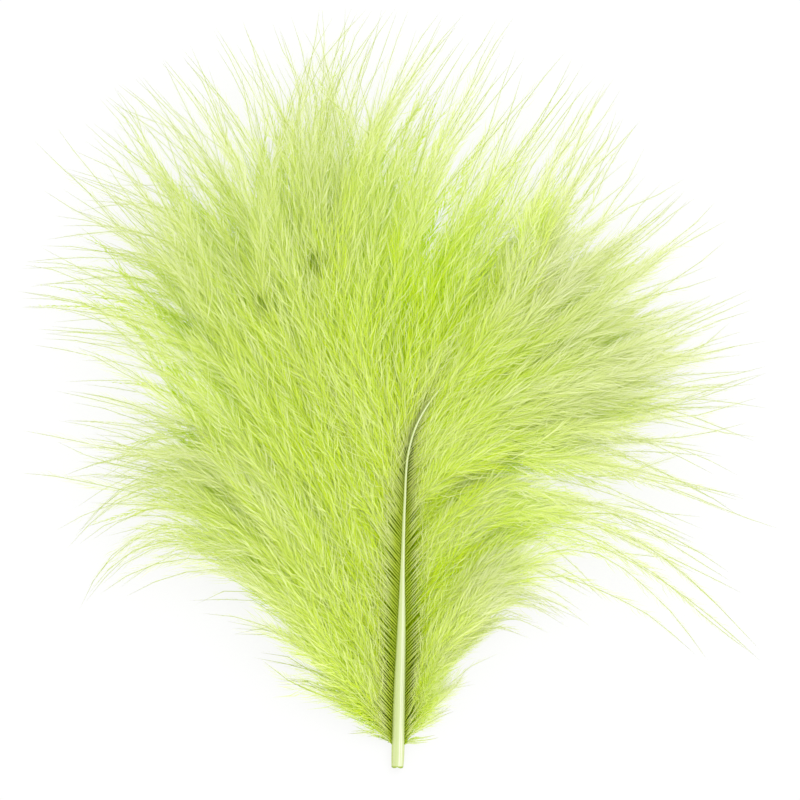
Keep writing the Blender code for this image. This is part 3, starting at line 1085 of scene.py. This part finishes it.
@dataclass
class Quill:
    """The bare cut quill, hollow at its cut end, and the thin shaft that it tapers into.

    Attributes:
        crowding: how much closer the stations stand at the cut end, as a power.
        notch_width: how wide the notch in its edge is, as a share of half the width.
        edge_depth: how near the cut end a point is that belongs to its edge.
        rise: how far the shaft stands up out of the fluff, at the place rise_at and over the length rise_run.
        thinner: where along the shaft its width falls, from and to, and what is left of it there.
    """

    shaft: ShaftLine
    sides: int = 24
    stations: int = 90
    flatten: float = 0.92
    wall: float = 0.26 * MM
    hollow: float = 1.6 * MM
    notch: float = 0.18 * MM
    round_off: float = 0.12 * MM
    crowding: float = 1.25
    notch_width: float = 0.30
    edge_depth: float = 0.05 * MM
    rise: float = 0.9 * MM
    rise_at: float = 55.0 * MM
    rise_run: float = 9.0 * MM
    thinner: tuple[float, float, float, float] = (22.0 * MM, 46.0 * MM, 1.0, 0.78)
    name: str = "quill"

    def build(self) -> bpy.types.Object:
        """Draws the quill out along the shaft's line from a circle, and hollows its cut end.

        Returns:
            The quill.
        """
        select_none()
        bpy.ops.mesh.primitive_circle_add(vertices=self.sides, radius=1.0, fill_type="NGON")
        piece = bpy.context.object
        piece.name = self.name
        bpy.ops.object.mode_set(mode="EDIT")
        bpy.ops.mesh.select_mode(type="FACE")
        bpy.ops.mesh.select_all(action="SELECT")
        circle = Ring(np.zeros(3), np.array([1.0, 0.0, 0.0]), np.array([0.0, 1.0, 0.0]), 1.0)
        ring = self.move_ring(piece, circle, 0.0)
        for k in range(1, self.stations + 1):
            bpy.ops.mesh.extrude_region_move()
            ring = self.move_ring(piece, ring, self.shaft.length * (k / self.stations) ** self.crowding)
        bpy.ops.mesh.select_all(action="SELECT")
        bpy.ops.mesh.normals_make_consistent(inside=False)
        self.cut_end(piece)
        bpy.ops.object.mode_set(mode="OBJECT")
        piece.data.shade_smooth()
        self.map_colours(piece)
        log.info("%s: %d faces", piece.name, len(piece.data.polygons))
        return piece

    def cut_end(self, piece: bpy.types.Object) -> None:
        """Hollows the cut end and shapes its edge, with a small notch in the middle and rounded corners.

        Args:
            piece: the quill, in edit mode.
        """
        bpy.ops.mesh.select_all(action="DESELECT")
        mesh = bmesh.from_edit_mesh(piece.data)
        end = min(mesh.faces, key=lambda face: face.calc_center_median().y)
        end.select_set(True)
        bmesh.update_edit_mesh(piece.data)
        bpy.ops.mesh.inset(thickness=self.wall, depth=0.0)
        bpy.ops.mesh.extrude_region_move(TRANSFORM_OT_translate={"value": (0.0, self.hollow, 0.0)})
        mesh = bmesh.from_edit_mesh(piece.data)
        middle, half = self.shaft.place(0.0), self.shaft.width(0.0) / 2
        for vert in mesh.verts:
            if vert.co.y < middle[1] + self.edge_depth:
                side = (vert.co.x - middle[0]) / half
                notch = self.notch * math.exp(-((side / self.notch_width) ** 2))
                vert.co.y += notch + self.round_off * side**4
        bmesh.update_edit_mesh(piece.data)

    def move_ring(self, piece: bpy.types.Object, old: Ring, length: float) -> Ring:
        """Moves the selected ring to its place round the shaft.

        Args:
            piece: the quill, in edit mode.
            old: where the ring lies now.
            length: how far from the cut end it goes.

        Returns:
            Where it lies then.
        """
        ring = self.section(length)
        half = self.shaft.width(length) / 2 * np.interp(length, self.thinner[:2], self.thinner[2:])
        mesh = bmesh.from_edit_mesh(piece.data)
        for vert in [v for v in mesh.verts if v.select]:
            out = np.array(vert.co) - old.place
            angle = math.atan2(out @ old.upward / old.flat, out @ old.across)
            out = ring.across * math.cos(angle) + ring.upward * math.sin(angle) * ring.flat
            vert.co = ring.place + out * half
        bmesh.update_edit_mesh(piece.data)
        return ring

    def section(self, length: float) -> Ring:
        """The shaft's section.

        Args:
            length: how far from the cut end it is.

        Returns:
            The ring there.
        """
        place, ahead = self.shaft.place(length), self.shaft.heading(length)
        across = unit(np.cross(ahead, UP))
        place[2] += self.rise * math.exp(-(((length - self.rise_at) / self.rise_run) ** 2))
        return Ring(place, across, np.cross(across, ahead), self.flatten)

    def map_colours(self, piece: bpy.types.Object) -> None:
        """Gives each corner its colour place: how far round the shaft it is, and how far along it.

        Args:
            piece: the quill.
        """
        mesh = piece.data
        spots = np.empty((len(mesh.vertices), 2))
        for vert in mesh.vertices:
            away = np.linalg.norm(self.shaft.places - np.array(vert.co), axis=1)
            length = float(self.shaft.lengths[np.argmin(away)])
            ring = self.section(length)
            out = np.array(vert.co) - ring.place
            turn = math.atan2(out @ ring.upward / ring.flat, out @ ring.across) / math.tau % 1.0
            spots[vert.index] = turn, length / self.shaft.length
        layer = mesh.uv_layers.new(name=QUILL_MAP, do_init=False)
        for face in mesh.polygons:
            corners = spots[list(face.vertices)].copy()
            if np.ptp(corners[:, 0]) > 0.5:
                corners[corners[:, 0] > 0.5, 0] -= 1.0
            for loop, corner in zip(face.loop_indices, corners):
                layer.uv[loop].vector = corner

    def dress(self, piece: bpy.types.Object) -> None:
        """Gives the quill its finish and its place in the model.

        Args:
            piece: the quill.
        """
        piece.data.materials.append(QuillFinish().material())
        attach(piece, BODY)
        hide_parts(NODE)


@dataclass
class Down:
    """All the barbs and barbules, as one mesh for each side and rank."""

    layout: BarbLayout

    def build(self) -> list[bpy.types.Object]:
        """Grows the down.

        Returns:
            The pieces.
        """
        pieces = []
        for side in Side:
            for rank in Rank:
                paths = [path for lock in self.layout.locks(side) for path in self.layout.barbs(lock, rank)]
                name = f"down_{side.name.lower()}_{rank.name.lower()}"
                pieces.append(DownMaker(rank.value).grow(name, paths))
        return pieces

    def dress(self, pieces: list[bpy.types.Object]) -> None:
        """Gives the pieces their finish and their place in the model.

        Args:
            pieces: the pieces of down.
        """
        material = DownFinish().material()
        for piece in pieces:
            piece.data.materials.append(material)
            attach(piece, BODY)
            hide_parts(NODE)


@dataclass
class Studio:
    """A white sweep, soft light with its key from the upper right, and a camera that looks straight down."""

    floor_size: float = 2.0
    camera_height: float = 0.9
    frame_width: float = 0.120
    frame_centre: Span = (-0.0002, -0.002)
    plane_height: float = 0.004
    sensor: float = 36.0
    key_place: tuple[float, float, float] = (0.34, 0.34, 0.70)
    key_size: float = 0.50
    key_power: float = 2.1
    world_strength: float = 1.12
    floor_level: float = -0.1 * MM
    paper: float = 0.15
    glow: float = 0.82
    paper_roughness: float = 0.9

    def build(self) -> None:
        """Sets up the floor, the lights and the camera."""
        self.floor()
        self.light("key", self.key_place, self.key_power, self.key_size)
        self.camera()
        world = bpy.context.scene.world or bpy.data.worlds.new("studio")
        bpy.context.scene.world = world
        world.use_nodes = True
        background = world.node_tree.nodes["Background"]
        background.inputs["Color"].default_value = (1.0, 1.0, 1.0, 1.0)
        background.inputs["Strength"].default_value = self.world_strength
        bpy.context.scene.view_settings.view_transform = "Standard"

    def floor(self) -> None:
        """A matt white floor just under the feather, lit a little from below like a light table."""
        select_none()
        bpy.ops.mesh.primitive_plane_add(size=self.floor_size, location=(0.0, 0.0, self.floor_level))
        floor = bpy.context.object
        floor.name = "floor"
        bpy.ops.object.transform_apply(location=True, rotation=False, scale=False)
        material = bpy.data.materials.new("white_paper")
        material.use_nodes = True
        shader = material.node_tree.nodes["Principled BSDF"]
        shader.inputs["Base Color"].default_value = (self.paper, self.paper, self.paper, 1.0)
        shader.inputs["Emission Color"].default_value = (1.0, 1.0, 1.0, 1.0)
        shader.inputs["Emission Strength"].default_value = self.glow
        shader.inputs["Roughness"].default_value = self.paper_roughness
        shader.inputs["Specular IOR Level"].default_value = 0.0
        floor.data.materials.append(material)

    def light(self, name: str, place: tuple[float, float, float], power: float, size: float) -> None:
        """One soft square light that faces the feather.

        Args:
            name: its name.
            place: where it hangs.
            power: its power in watts.
            size: how wide it is.
        """
        select_none()
        bpy.ops.object.light_add(type="AREA", location=place)
        lamp = bpy.context.object
        lamp.name = name
        lamp.data.energy = power
        lamp.data.size = size
        flat = math.hypot(place[0], place[1])
        lamp.rotation_euler = (math.atan2(flat, place[2]), 0.0, math.atan2(place[1], place[0]) + math.pi / 2)

    def camera(self) -> None:
        """A long lens straight above, with the quill at the bottom of the picture."""
        select_none()
        bpy.ops.object.camera_add(location=(*self.frame_centre, self.camera_height), rotation=(0.0, 0.0, 0.0))
        camera = bpy.context.object
        camera.data.type = "PERSP"
        camera.data.sensor_width = self.sensor
        camera.data.lens = self.sensor * (self.camera_height - self.plane_height) / self.frame_width
        camera.data.clip_end = 10.0
        bpy.context.scene.camera = camera


def main() -> None:
    """Builds the feather and its studio."""
    logging.basicConfig(level=logging.INFO, format="%(message)s")
    studio = Studio()
    studio.build()
    shaft = ShaftLine()
    quill = Quill(shaft)
    quill.dress(quill.build())
    down = Down(BarbLayout(shaft))
    down.dress(down.build())


if __name__ == "__main__":
    main()
